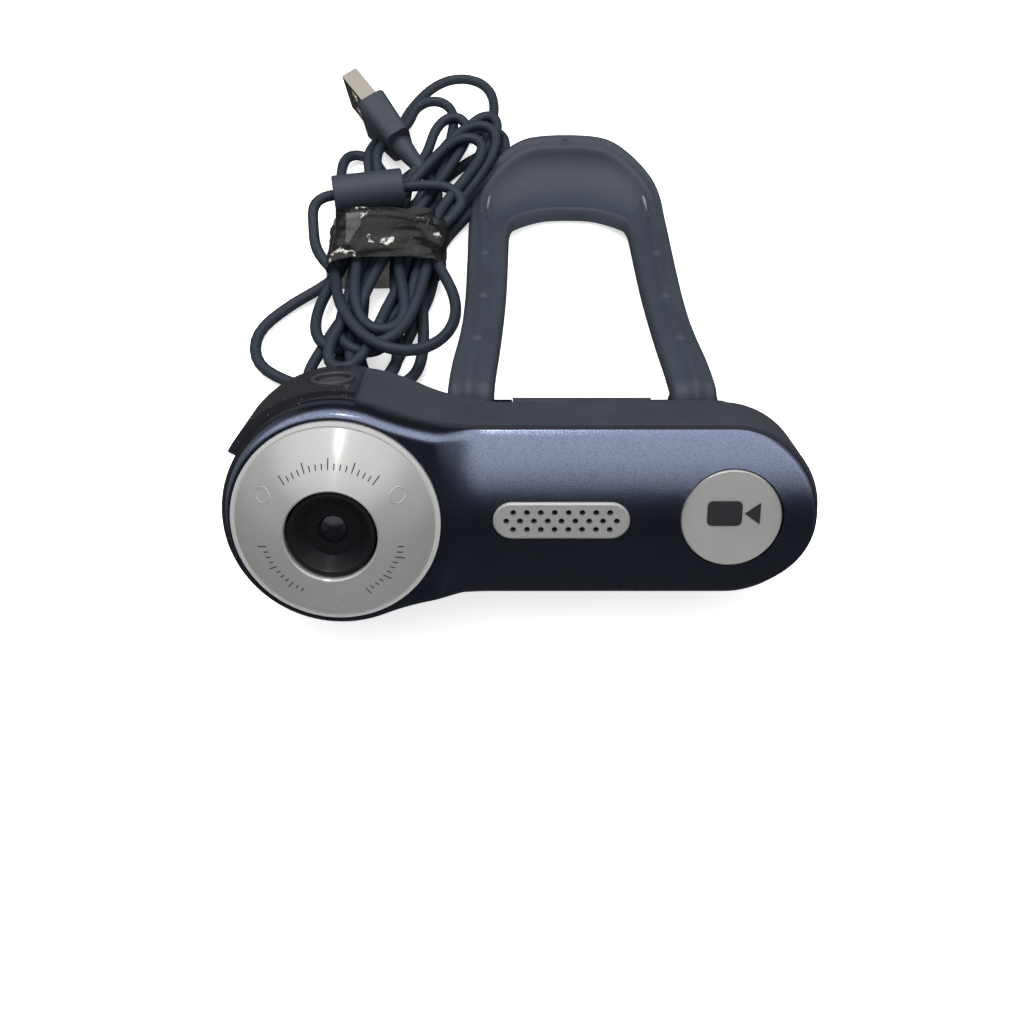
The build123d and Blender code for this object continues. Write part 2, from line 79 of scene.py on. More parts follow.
view = {"place": (-0.00192, -0.19199, 0.20717), "tilt": 36.0, "lens": 42.1875}
studio = {
    "key": {"place": (-0.05, 0.15, 0.8), "size": (0.8, 0.6), "power": 9.0, "aim": (0, 0, 0.02),
            "glossy": False},
    "fill": {"place": (0.35, -0.75, 0.6), "size": (0.5, 0.5), "power": 2.5, "aim": (0, -0.05, 0.02),
             "glossy": False},
    "strip": {"place": (-0.034, 0.02, 0.6), "size": (0.05, 0.16), "power": 0.3, "aim": (-0.034, -0.06, 0.03),
              "glossy": True},
}
table = {"reach": 3.0, "drop": 0.0002, "paint": (0.9, 0.9, 0.9, 1), "glow": 0.55, "glowInGloss": 0.035}
# brightness by height, from the horizon up to straight overhead, and what the sides add
studioSky = {
    "height": [(0.0, 0.02), (0.46, 0.03), (0.58, 0.55), (0.78, 1.05), (1.0, 1.15)],
    "cool": 1.03,
    "sides": 0.3,
    "sidesFrom": 0.35,
    "sidesTo": 0.95,
    "strength": 1.0,
}


def buildCamera():
    data = bpy.data.cameras.new("viewCamera")
    data.lens = view["lens"]
    data.sensor_width = 36.0
    data.clip_start = 0.005
    camera = bpy.data.objects.new("viewCamera", data)
    camera.location = view["place"]
    camera.rotation_euler = (radians(view["tilt"]), 0, 0)
    bpy.context.scene.collection.objects.link(camera)
    bpy.context.scene.camera = camera


def buildLights():
    for name, lamp in studio.items():
        data = bpy.data.lights.new(name + "Light", "AREA")
        data.shape = "RECTANGLE"
        data.size = lamp["size"][0]
        data.size_y = lamp["size"][1]
        data.energy = lamp["power"]
        light = bpy.data.objects.new(name + "Light", data)
        light.location = lamp["place"]
        light.visible_glossy = lamp["glossy"]
        aim = Vector(lamp["aim"]) - Vector(lamp["place"])
        light.rotation_euler = aim.to_track_quat("-Z", "Y").to_euler()
        bpy.context.scene.collection.objects.link(light)


def buildWorld():
    world = bpy.data.worlds.new("studioWorld")
    bpy.context.scene.world = world
    world.use_nodes = True
    tree = world.node_tree
    tree.nodes.clear()
    out = tree.nodes.new("ShaderNodeOutputWorld")
    light = tree.nodes.new("ShaderNodeBackground")
    seen = tree.nodes.new("ShaderNodeBackground")
    mix = tree.nodes.new("ShaderNodeMixShader")
    path = tree.nodes.new("ShaderNodeLightPath")
    coords = tree.nodes.new("ShaderNodeTexCoord")
    split = tree.nodes.new("ShaderNodeSeparateXYZ")
    ramp = tree.nodes.new("ShaderNodeValToRGB")
    stops = ramp.color_ramp.elements
    for place, shade in studioSky["height"][1:-1]:
        stops.new(place)
    for stop, (place, shade) in zip(stops, studioSky["height"]):
        stop.position = place
        stop.color = (shade, shade, shade * studioSky["cool"], 1)
    side = tree.nodes.new("ShaderNodeMath")
    side.operation = "ABSOLUTE"
    sideRamp = tree.nodes.new("ShaderNodeMapRange")
    sideRamp.inputs["From Min"].default_value = studioSky["sidesFrom"]
    sideRamp.inputs["From Max"].default_value = studioSky["sidesTo"]
    sideRamp.inputs["To Max"].default_value = studioSky["sides"]
    total = tree.nodes.new("ShaderNodeMixRGB")
    total.blend_type = "ADD"
    total.inputs[0].default_value = 1.0
    seen.inputs["Color"].default_value = (1, 1, 1, 1)
    seen.inputs["Strength"].default_value = 1.0
    light.inputs["Strength"].default_value = studioSky["strength"]
    tree.links.new(coords.outputs["Generated"], split.inputs[0])
    tree.links.new(split.outputs["Z"], ramp.inputs["Fac"])
    tree.links.new(split.outputs["X"], side.inputs[0])
    tree.links.new(side.outputs[0], sideRamp.inputs["Value"])
    tree.links.new(ramp.outputs["Color"], total.inputs[1])
    tree.links.new(sideRamp.outputs["Result"], total.inputs[2])
    tree.links.new(total.outputs[0], light.inputs["Color"])
    tree.links.new(path.outputs["Is Camera Ray"], mix.inputs[0])
    tree.links.new(light.outputs[0], mix.inputs[1])
    tree.links.new(seen.outputs[0], mix.inputs[2])
    tree.links.new(mix.outputs[0], out.inputs[0])
    bpy.context.scene.view_settings.view_transform = "Standard"


def buildFloor():
    mesh = bpy.data.meshes.new("floor")
    reach = table["reach"]
    low = cadBox[0].z - table["drop"]
    corners = [(-reach, -reach, low), (reach, -reach, low), (reach, reach, low), (-reach, reach, low)]
    mesh.from_pydata(corners, [], [(0, 1, 2, 3)])
    floor = bpy.data.objects.new("floor", mesh)
    bpy.context.scene.collection.objects.link(floor)
    material = bpy.data.materials.new("paleFloor")
    material.use_nodes = True
    tree = material.node_tree
    tree.nodes.clear()
    out = tree.nodes.new("ShaderNodeOutputMaterial")
    diffuse = tree.nodes.new("ShaderNodeBsdfDiffuse")
    diffuse.inputs["Color"].default_value = table["paint"]
    glow = tree.nodes.new("ShaderNodeEmission")
    glow.inputs["Strength"].default_value = table["glow"]
    dim = tree.nodes.new("ShaderNodeEmission")
    dim.inputs["Strength"].default_value = table["glowInGloss"]
    add = tree.nodes.new("ShaderNodeAddShader")
    mix = tree.nodes.new("ShaderNodeMixShader")
    path = tree.nodes.new("ShaderNodeLightPath")
    tree.links.new(diffuse.outputs[0], add.inputs[0])
    tree.links.new(glow.outputs[0], add.inputs[1])
    tree.links.new(path.outputs["Is Glossy Ray"], mix.inputs[0])
    tree.links.new(add.outputs[0], mix.inputs[1])
    tree.links.new(dim.outputs[0], mix.inputs[2])
    tree.links.new(mix.outputs[0], out.inputs[0])
    mesh.materials.append(material)


buildCamera()
buildLights()
buildWorld()
buildFloor()
print("camera, lights and floor")

# materials: two shared effects, then one function per finish


def newGroup(name, inputs, outputs):
    group = bpy.data.node_groups.new(name, "ShaderNodeTree")
    for label, value in inputs:
        socket = group.interface.new_socket(name=label, in_out="INPUT", socket_type="NodeSocketFloat")
        socket.default_value = value
    for label in outputs:
        group.interface.new_socket(name=label, in_out="OUTPUT", socket_type="NodeSocketFloat")
    return group, group.nodes.new("NodeGroupInput"), group.nodes.new("NodeGroupOutput")


def buildGrain():
    # fine moulded texture and slow uneven shine, both in the part's own metres
    group, given, out = newGroup("mouldedGrain", [("Grain", 4000.0), ("Patch", 60.0)], ["Height", "Shine"])
    coords = group.nodes.new("ShaderNodeTexCoord")
    fine = group.nodes.new("ShaderNodeTexNoise")
    fine.inputs["Detail"].default_value = 3.0
    slow = group.nodes.new("ShaderNodeTexNoise")
    slow.inputs["Detail"].default_value = 6.0
    slow.inputs["Roughness"].default_value = 0.65
    group.links.new(coords.outputs["Object"], fine.inputs["Vector"])
    group.links.new(coords.outputs["Object"], slow.inputs["Vector"])
    group.links.new(given.outputs["Grain"], fine.inputs["Scale"])
    group.links.new(given.outputs["Patch"], slow.inputs["Scale"])
    group.links.new(fine.outputs["Fac"], out.inputs["Height"])
    group.links.new(slow.outputs["Fac"], out.inputs["Shine"])
    return group


def buildDust():
    # sparse pale specks, as settle on dark plastic
    group, given, out = newGroup("dustSpecks", [("Scale", 900.0), ("Amount", 0.12)], ["Mask"])
    coords = group.nodes.new("ShaderNodeTexCoord")
    cells = group.nodes.new("ShaderNodeTexVoronoi")
    less = group.nodes.new("ShaderNodeMath")
    less.operation = "LESS_THAN"
    patches = group.nodes.new("ShaderNodeTexNoise")
    patches.inputs["Scale"].default_value = 90.0
    product = group.nodes.new("ShaderNodeMath")
    product.operation = "MULTIPLY"
    group.links.new(coords.outputs["Object"], cells.inputs["Vector"])
    group.links.new(coords.outputs["Object"], patches.inputs["Vector"])
    group.links.new(given.outputs["Scale"], cells.inputs["Scale"])
    group.links.new(cells.outputs["Distance"], less.inputs[0])
    group.links.new(given.outputs["Amount"], less.inputs[1])
    group.links.new(less.outputs[0], product.inputs[0])
    group.links.new(patches.outputs["Fac"], product.inputs[1])
    group.links.new(product.outputs[0], out.inputs["Mask"])
    return group


mouldedGrain = buildGrain()
dustSpecks = buildDust()


def startMaterial(name, settings):
    material = bpy.data.materials.new(name)
    material.use_nodes = True
    tree = material.node_tree
    shader = tree.nodes["Principled BSDF"]
    for label, value in settings.items():
        shader.inputs[label].default_value = value
    return material, tree, shader


def placeGroup(tree, group, **values):
    node = tree.nodes.new("ShaderNodeGroup")
    node.node_tree = group
    for label, value in values.items():
        node.inputs[label].default_value = value
    return node


def spread(tree, source, low, high, target):
    # a value from 0 to 1 becomes one from low to high
    node = tree.nodes.new("ShaderNodeMapRange")
    node.inputs["From Min"].default_value = 0.3
    node.inputs["From Max"].default_value = 0.7
    node.inputs["To Min"].default_value = low
    node.inputs["To Max"].default_value = high
    tree.links.new(source, node.inputs["Value"])
    tree.links.new(node.outputs["Result"], target)


def tint(tree, mask, dark, light, target):
    node = tree.nodes.new("ShaderNodeMix")
    node.data_type = "RGBA"
    node.inputs["A"].default_value = (*dark, 1)
    node.inputs["B"].default_value = (*light, 1)
    tree.links.new(mask, node.inputs["Factor"])
    tree.links.new(node.outputs["Result"], target)


def raised(tree, height, shader, distance, strength=0.5):
    bump = tree.nodes.new("ShaderNodeBump")
    bump.inputs["Distance"].default_value = distance
    bump.inputs["Strength"].default_value = strength
    tree.links.new(height, bump.inputs["Height"])
    tree.links.new(bump.outputs["Normal"], shader.inputs["Normal"])


def moulded(name, dark, light, rough, grain=4000.0, depth=0.00003, dust=0.0, **extra):
    # plastic or rubber with a moulded grain, uneven shine and a little dust
    settings = {"IOR": 1.5}
    settings.update({label.replace("_", " "): value for label, value in extra.items()})
    material, tree, shader = startMaterial(name, settings)
    surface = placeGroup(tree, mouldedGrain, Grain=grain)
    spread(tree, surface.outputs["Shine"], rough[0], rough[1], shader.inputs["Roughness"])
    raised(tree, surface.outputs["Height"], shader, depth)
    if dust:
        specks = placeGroup(tree, dustSpecks, Amount=dust)
        worn = tree.nodes.new("ShaderNodeMix")
        worn.data_type = "RGBA"
        worn.inputs["B"].default_value = (0.35, 0.35, 0.36, 1)
        tree.links.new(specks.outputs["Mask"], worn.inputs["Factor"])
        tint(tree, surface.outputs["Shine"], dark, light, worn.inputs["A"])
        tree.links.new(worn.outputs["Result"], shader.inputs["Base Color"])
    else:
        tint(tree, surface.outputs["Shine"], dark, light, shader.inputs["Base Color"])
    return material


def flakePaint():
    # blue-grey metallic under a clear gloss: flakes lighten and tilt the base, the coat stays smooth
    material, tree, shader = startMaterial("blueGreyGloss", {
        "Metallic": 1.0, "Coat Weight": 1.0, "Coat Roughness": 0.04, "IOR": 1.5,
    })
    coords = tree.nodes.new("ShaderNodeTexCoord")
    flakes = tree.nodes.new("ShaderNodeTexVoronoi")
    flakes.inputs["Scale"].default_value = 5200.0
    tree.links.new(coords.outputs["Object"], flakes.inputs["Vector"])
    tint(tree, flakes.outputs["Distance"], (0.27, 0.32, 0.46), (0.11, 0.13, 0.20),
         shader.inputs["Base Color"])
    surface = placeGroup(tree, mouldedGrain, Grain=2600.0, Patch=40.0)
    spread(tree, surface.outputs["Shine"], 0.2, 0.25, shader.inputs["Roughness"])
    raised(tree, flakes.outputs["Distance"], shader, 0.00003, 0.35)
    return material


def turnedSteel(name, settings, dark, light):
    # metal with fine rings about the lens axis: rings tint it, and the shine follows them
    material, tree, shader = startMaterial(name, settings)
    coords = tree.nodes.new("ShaderNodeTexCoord")
    centred = tree.nodes.new("ShaderNodeVectorMath")
    centred.operation = "SUBTRACT"
    centred.inputs[1].default_value = lensPoint
    around = tree.nodes.new("ShaderNodeVectorMath")
    around.operation = "CROSS_PRODUCT"
    around.inputs[1].default_value = backward
    radius = tree.nodes.new("ShaderNodeVectorMath")
    radius.operation = "LENGTH"
    rings = tree.nodes.new("ShaderNodeTexNoise")
    rings.noise_dimensions = "1D"
    rings.inputs["Scale"].default_value = 9000.0
    rings.inputs["Detail"].default_value = 4.0
    tree.links.new(coords.outputs["Object"], centred.inputs[0])
    tree.links.new(centred.outputs[0], around.inputs[0])
    tree.links.new(around.outputs[0], radius.inputs[0])
    tree.links.new(radius.outputs["Value"], rings.inputs["W"])
    tree.links.new(around.outputs[0], shader.inputs["Tangent"])
    tint(tree, rings.outputs["Fac"], dark, light, shader.inputs["Base Color"])
    surface = placeGroup(tree, mouldedGrain, Grain=3000.0, Patch=45.0)
    spread(tree, surface.outputs["Shine"], 0.27, 0.33, shader.inputs["Roughness"])
    return material


def metal(name, dark, light, rough, grain=2500.0, metallic=1.0):
    return moulded(name, dark, light, rough, grain=grain, depth=0.00001, Metallic=metallic)


def glassy(name, colour, rough, alpha, ior=1.5, coat=0.0):
    material, tree, shader = startMaterial(name, {
        "Base Color": (*colour, 1), "IOR": ior, "Coat Weight": coat, "Alpha": alpha,
    })
    surface = placeGroup(tree, mouldedGrain, Grain=1500.0, Patch=80.0)
    spread(tree, surface.outputs["Shine"], rough[0], rough[1], shader.inputs["Roughness"])
    return material


def tapeFilm():
    # brown clear film, nearly see-through; pale patches at random places are painted glare, and there the film is
    # also a little less clear
    material, tree, shader = startMaterial("clearTape", {
        "IOR": 1.5, "Specular IOR Level": 0.3, "Coat Weight": 0.4,
    })
    surface = placeGroup(tree, mouldedGrain, Grain=900.0, Patch=170.0)
    # painted glare: the film turns pale where the slow noise is high
    paintedGlare = tree.nodes.new("ShaderNodeMapRange")
    paintedGlare.inputs["From Min"].default_value = 0.6
    paintedGlare.inputs["From Max"].default_value = 0.66
    tree.links.new(surface.outputs["Shine"], paintedGlare.inputs["Value"])
    tint(tree, paintedGlare.outputs["Result"], (0.006, 0.005, 0.005), (0.5, 0.48, 0.44), shader.inputs["Base Color"])
    spread(tree, surface.outputs["Shine"], 0.12, 0.3, shader.inputs["Roughness"])
    solid = tree.nodes.new("ShaderNodeMapRange")
    solid.inputs["From Min"].default_value = 0.3
    solid.inputs["From Max"].default_value = 0.66
    solid.inputs["To Min"].default_value = 0.86
    solid.inputs["To Max"].default_value = 0.95
    tree.links.new(surface.outputs["Shine"], solid.inputs["Value"])
    tree.links.new(solid.outputs["Result"], shader.inputs["Alpha"])
    raised(tree, surface.outputs["Height"], shader, 0.0004, 0.6)
    return material


finishes = {
    "blue_grey_gloss": flakePaint(),
    "charcoal_matte": moulded("charcoalMatte", (0.022, 0.024, 0.030), (0.034, 0.037, 0.046), (0.36, 0.46),
                              dust=0.05, Coat_Weight=0.15),
    "black_gloss": moulded("blackGloss", (0.012, 0.012, 0.016), (0.018, 0.018, 0.024), (0.12, 0.2),
                           depth=0.000005, dust=0.09, Coat_Weight=0.6),
    "charcoal_satin": moulded("charcoalSatin", (0.025, 0.026, 0.03), (0.035, 0.036, 0.042), (0.28, 0.36)),
    "black_plastic": moulded("blackPlastic", (0.004, 0.004, 0.005), (0.008, 0.008, 0.01), (0.25, 0.35),
                             Specular_IOR_Level=0.2),
    "circuit_board": moulded("circuitBoard", (0.01, 0.1, 0.04), (0.02, 0.16, 0.07), (0.3, 0.4)),
    "filter_glass": glassy("filterGlass", (0.5, 0.75, 0.75), (0.03, 0.06), 0.5),
    "sensor_package": moulded("sensorPackage", (0.05, 0.05, 0.06), (0.08, 0.08, 0.09), (0.1, 0.2)),
    "amber_flex": moulded("amberFlex", (0.4, 0.18, 0.03), (0.55, 0.27, 0.05), (0.25, 0.35)),
    "chip_black": moulded("chipBlack", (0.02, 0.02, 0.02), (0.035, 0.035, 0.035), (0.5, 0.6)),
    "bright_steel": metal("brightSteel", (0.5, 0.5, 0.51), (0.66, 0.66, 0.67), (0.16, 0.26)),
    "white_plastic": moulded("whitePlastic", (0.72, 0.71, 0.67), (0.82, 0.81, 0.77), (0.4, 0.5)),
    "slate_cord": moulded("slateCord", (0.011, 0.015, 0.021), (0.018, 0.024, 0.033), (0.4, 0.52),
                          grain=2600.0, dust=0.05, Specular_IOR_Level=0.25),
    "silver_plastic": metal("silverPlastic", (0.24, 0.238, 0.23), (0.32, 0.317, 0.307), (0.34, 0.44),
                            metallic=0.4),
    "black_cloth": moulded("blackCloth", (0.004, 0.004, 0.004), (0.012, 0.012, 0.012), (0.85, 0.95),
                           depth=0.00008),
    "soft_rubber": moulded("softRubber", (0.012, 0.012, 0.013), (0.022, 0.022, 0.024), (0.65, 0.8)),
    "satin_silver": metal("satinSilver", (0.28, 0.277, 0.266), (0.34, 0.337, 0.325), (0.36, 0.46),
                          metallic=0.4),
    "badge_ink": moulded("badgeInk", (0.012, 0.012, 0.014), (0.02, 0.02, 0.024), (0.3, 0.4)),
    "slate_rubber": moulded("slateRubber", (0.020, 0.024, 0.032), (0.032, 0.038, 0.049), (0.38, 0.5),
                            grain=3000.0, depth=0.00004, dust=0.05, Specular_IOR_Level=0.25),
    "dark_steel": metal("darkSteel", (0.03, 0.03, 0.035), (0.05, 0.05, 0.055), (0.3, 0.4)),
    "nickel_shell": metal("nickelShell", (0.42, 0.39, 0.33), (0.58, 0.54, 0.46), (0.26, 0.36)),
    "gold_contact": metal("goldContact", (0.7, 0.5, 0.2), (0.85, 0.63, 0.28), (0.2, 0.3)),
    "clear_tape": tapeFilm(),
    "brushed_ring": turnedSteel("brushedRing", {
        "Metallic": 0.6, "Anisotropic": 0.9, "Anisotropic Rotation": 0.25,
    }, (0.34, 0.337, 0.325), (0.50, 0.495, 0.48)),
    "clear_plastic": glassy("clearPlastic", (0.34, 0.34, 0.335), (0.15, 0.2), 0.85, coat=0.3),
    "lens_glass": glassy("lensGlass", (0.008, 0.009, 0.013), (0.01, 0.02), 0.7, ior=1.6, coat=0.3),
}
slotOf = {row["node"]: row["material_slot"] for row in frame["record"]["subparts"]}
print("materials:", len(finishes))


def wear(piece, slotName):
    piece.data.materials.clear()
    piece.data.materials.append(finishes[slotName])


for name, node in nodes.items():
    wear(node, slotOf[name])


def addMesh(name, points, faces, body, slotName, smooth=True):
    mesh = bpy.data.meshes.new(name)
    mesh.from_pydata([tuple(p) for p in points], [], faces)
    mesh.validate()
    mesh.update()
    if smooth:
        mesh.shade_smooth()
    piece = bpy.data.objects.new(name, mesh)
    bpy.context.scene.collection.objects.link(piece)
    wear(piece, slotName)
    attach(piece, body)
    return piece


# front shell: a crowned pebble with rounded edges, hollow, cut for the ring, the grille and the badge

shell = {
    "headRadius": 21.5, "tailRadius": 16.0, "tailX": 72.4, "neckX": 28.0, "crown": 34.0,
    "headFace": -0.6, "headRound": 1.8, "tailRound": 1.2, "blendFrom": 17.0, "blendTo": 27.0,
    "edgeY": 4.25, "seamY": 4.8, "groove": 0.45, "wall": 1.7, "deepest": 2.6,
    # how far in from the outline each row of the face lies, closest together over the rounded edge
    "insets": [0.0, 0.04, 0.12, 0.25, 0.45, 0.7, 1.0, 1.35, 1.8, 2.4, 3.2, 4.4, 6.0, 8.0, 10.0, 12.0,
               14.0, 15.4],
    "headSteps": 97, "flankSteps": 25, "tailSteps": 65, "sharpAngle": 32,
    # what is cut into it, each from one y to another
    "seat": {"radius": 19.45, "cut": (-4, 1.3)},
    "mouth": {"radius": 15.0, "cut": (-3, 8)},
    "grille": {"x": 41.1, "length": 25.3, "height": 7.3, "cut": (-3, 1.1)},
    "badge": {"x": 72.3, "radius": 9.55, "cut": (-3, 2.4)},
}


def outlinePoints(inset):
    # the keyhole outline as (x, z), the same count of points at every inset
    head = shell["headRadius"] - inset
    half = shell["tailRadius"] - inset
    reach = shell["neckX"]
    neck = (reach ** 2 - shell["headRadius"] ** 2 + shell["tailRadius"] ** 2)
    neck = neck / (2 * (shell["headRadius"] - shell["tailRadius"])) + inset
    share = head / (head + neck)
    touch = np.arctan2((half + neck) * share, reach * share)
    flank = shell["flankSteps"]
    points = [(head * cos(a), head * sin(a)) for a in np.linspace(touch, 2 * pi - touch, shell["headSteps"])]
    points += [(reach + neck * cos(a), -(half + neck) + neck * sin(a))
               for a in np.linspace(pi - touch, pi / 2, flank)[1:]]
    points += [(x, -half) for x in np.linspace(reach, shell["tailX"], flank)[1:]]
    points += [(shell["tailX"] + half * cos(a), half * sin(a))
               for a in np.linspace(-pi / 2, pi / 2, shell["tailSteps"])[1:]]
    points += [(x, half) for x in np.linspace(shell["tailX"], reach, flank)[1:]]
    points += [(reach + neck * cos(a), half + neck + neck * sin(a))
               for a in np.linspace(-pi / 2, touch - pi, flank)[1:-1]]
    return points


def rounding(inset, reach):
    # 1 at the outline, falling to 0 on a quarter round of that reach
    return 1 - sqrt(1 - (1 - min(inset / reach, 1)) ** 2)


def shellFace(x, z, inset):
    # depth of the face: crowned on the tail, flat on the head, blended at the neck
    crown = shell["crown"] - sqrt(shell["crown"] ** 2 - z ** 2)
    crown = min(crown, shell["edgeY"])
    tail = crown + (shell["edgeY"] - crown) * rounding(inset, shell["tailRound"])
    head = shell["headFace"] + (shell["edgeY"] - shell["headFace"]) * rounding(inset, shell["headRound"])
    share = min(max((x - shell["blendFrom"]) / (shell["blendTo"] - shell["blendFrom"]), 0), 1)
    share = share * share * (3 - 2 * share)
    return head + (tail - head) * share


def prism(name, outline, yFront, yBack):
    # a cutting tool, removed again once it has cut
    count = len(outline)
    points = [onBody(x, y, z) for y in (yFront, yBack) for x, z in outline]
    faces = [tuple(range(count)), tuple(reversed(range(count, 2 * count)))]
    faces += [(k, k + count, (k + 1) % count + count, (k + 1) % count) for k in range(count)]
    mesh = bpy.data.meshes.new(name)
    mesh.from_pydata([tuple(p) for p in points], [], faces)
    tool = bpy.data.objects.new(name, mesh)
    bpy.context.scene.collection.objects.link(tool)
    return tool


def circle(radius, x=0.0, z=0.0, count=128):
    turns = [2 * pi * k / count for k in range(count)]
    return [(x + radius * cos(turn), z + radius * sin(turn)) for turn in turns]


def pill(x, length, height, count=32):
    half, radius = (length - height) / 2, height / 2
    right = [(x + half + radius * cos(a), radius * sin(a)) for a in np.linspace(-pi / 2, pi / 2, count)]
    left = [(x - half + radius * cos(a), radius * sin(a)) for a in np.linspace(pi / 2, 3 * pi / 2, count)]
    return right + left


def cutAway(piece, tools):
    for tool in tools:
        cut = piece.modifiers.new(tool.name, "BOOLEAN")
        cut.operation = "DIFFERENCE"
        cut.solver = "EXACT"
        cut.object = tool
    bpy.context.view_layer.update()
    done = bpy.data.meshes.new_from_object(piece.evaluated_get(bpy.context.evaluated_depsgraph_get()))
    piece.modifiers.clear()
    piece.data = done
    for tool in tools:
        bpy.data.objects.remove(tool)
    done.shade_smooth()
    done.set_sharp_from_angle(angle=radians(shell["sharpAngle"]))


def bandFaces(rowCount, size, flip=False):
    # four-cornered faces between neighbouring closed rows of points
    faces = []
    for i in range(rowCount - 1):
        for k in range(size):
            n = (k + 1) % size
            a, b, c, d = i * size + k, i * size + n, (i + 1) * size + n, (i + 1) * size + k
            faces.append((a, d, c, b) if flip else (a, b, c, d))
    return faces


def buildFrontShell():
    rings = []
    for inset in shell["insets"]:
        rings.append([(x, shellFace(x, z, inset), z) for x, z in outlinePoints(inset)])
    wall = shell["wall"]
    inner = [inset for inset in shell["insets"] if inset > wall]
    seam, groove = shell["seamY"], shell["groove"]
    places = [(groove, shell["edgeY"] + 0.1), (groove, seam), (inner[0], seam)]
    back = [[(x, y, z) for x, z in outlinePoints(inset)] for inset, y in places]
    for inset in inner:
        row = [(x, max(shellFace(x, z, inset) + wall, shell["deepest"]), z) for x, z in outlinePoints(inset)]
        back.append([(x, min(y, seam - 0.05), z) for x, y, z in row])
    rows = list(reversed(rings)) + back
    count = len(rows[0])
    faces = [tuple(reversed(range(count))), tuple(range((len(rows) - 1) * count, len(rows) * count))]
    faces += bandFaces(len(rows), count)
    points = [onBody(*p) for row in rows for p in row]
    piece = addMesh("frontShell", points, faces, "camera", "blue_grey_gloss")
    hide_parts("front_shell")
    seat, mouth, grille, badge = (shell[name] for name in ("seat", "mouth", "grille", "badge"))
    cutAway(piece, [
        prism("seatTool", circle(seat["radius"]), *seat["cut"]),
        prism("mouthTool", circle(mouth["radius"]), *mouth["cut"]),
        prism("grilleTool", pill(grille["x"], grille["length"], grille["height"]), *grille["cut"]),
        prism("badgeTool", circle(badge["radius"], badge["x"]), *badge["cut"]),
    ])
    return piece


buildFrontShell()
print("front shell")

# focus ring marks: three moulded rounds, and printed ticks as on any focus scale

ring = {
    "dome": 25.0, "domeCentre": 15.55,
    "rounds": [30, 150, 270], "roundsAt": 13.8, "roundRadius": 1.35, "roundSteps": 40,
    # across and height of a round's raised lip
    "lip": [(-0.16, -0.05), (-0.12, 0.05), (0.0, 0.09), (0.12, 0.05), (0.16, -0.05)],
    "scales": [(50, 130), (-62, -12), (192, 242)], "tickEvery": 5, "longEvery": 20, "ticksAt": 12.0,
    "tick": 1.0, "longTick": 1.8, "tickWidth": 0.2, "tickHeights": (-0.05, 0.03),
}


def onDome(radius, angle, height=0.0):
    reach = ring["dome"] + height
    y = ring["domeCentre"] - sqrt(ring["dome"] ** 2 - radius ** 2) * reach / ring["dome"]
    radius = radius * reach / ring["dome"]
    return onBody(radius * cos(radians(angle)), y, radius * sin(radians(angle)))


def buildScale():
    points, faces = [], []
    for first, last in ring["scales"]:
        for angle in range(first, last + 1, ring["tickEvery"]):
            length = ring["longTick"] if (angle - first) % ring["longEvery"] == 0 else ring["tick"]
            wide = ring["tickWidth"] / 2 / ring["ticksAt"] * 180 / pi
            start = len(points)
            for height in ring["tickHeights"]:
                for radius, side in ((0, -1), (0, 1), (length, 1), (length, -1)):
                    points.append(onDome(ring["ticksAt"] + radius, angle + side * wide, height))
            for k in range(4):
                n = (k + 1) % 4
                faces.append((start + k, start + n, start + 4 + n, start + 4 + k))
            faces.append((start + 3, start + 2, start + 1, start))
            faces.append((start + 4, start + 5, start + 6, start + 7))
    addMesh("scaleMarks", points, faces, "focus_ring", "badge_ink", smooth=False)


def buildRounds():
    lip, count = ring["lip"], ring["roundSteps"]
    points, faces = [], []
    for angle in ring["rounds"]:
        start = len(points)
        for k in range(count):
            turn = 2 * pi * k / count
            for across, height in lip:
                reach = ring["roundRadius"] + across
                x = ring["roundsAt"] * cos(radians(angle)) + reach * cos(turn)
                z = ring["roundsAt"] * sin(radians(angle)) + reach * sin(turn)
                points.append(onDome(sqrt(x * x + z * z), np.degrees(np.arctan2(z, x)), height))
        for k in range(count):
            for j in range(len(lip)):
                m = (j + 1) % len(lip)
                a, b = start + k * len(lip), start + (k + 1) % count * len(lip)
                faces.append((a + j, a + m, b + m, b + j))
    addMesh("ringRounds", points, faces, "focus_ring", "brushed_ring")


buildScale()
buildRounds()
print("ring marks")

# cord: lead, tied turns and the run to the plug, in millimetres on the table

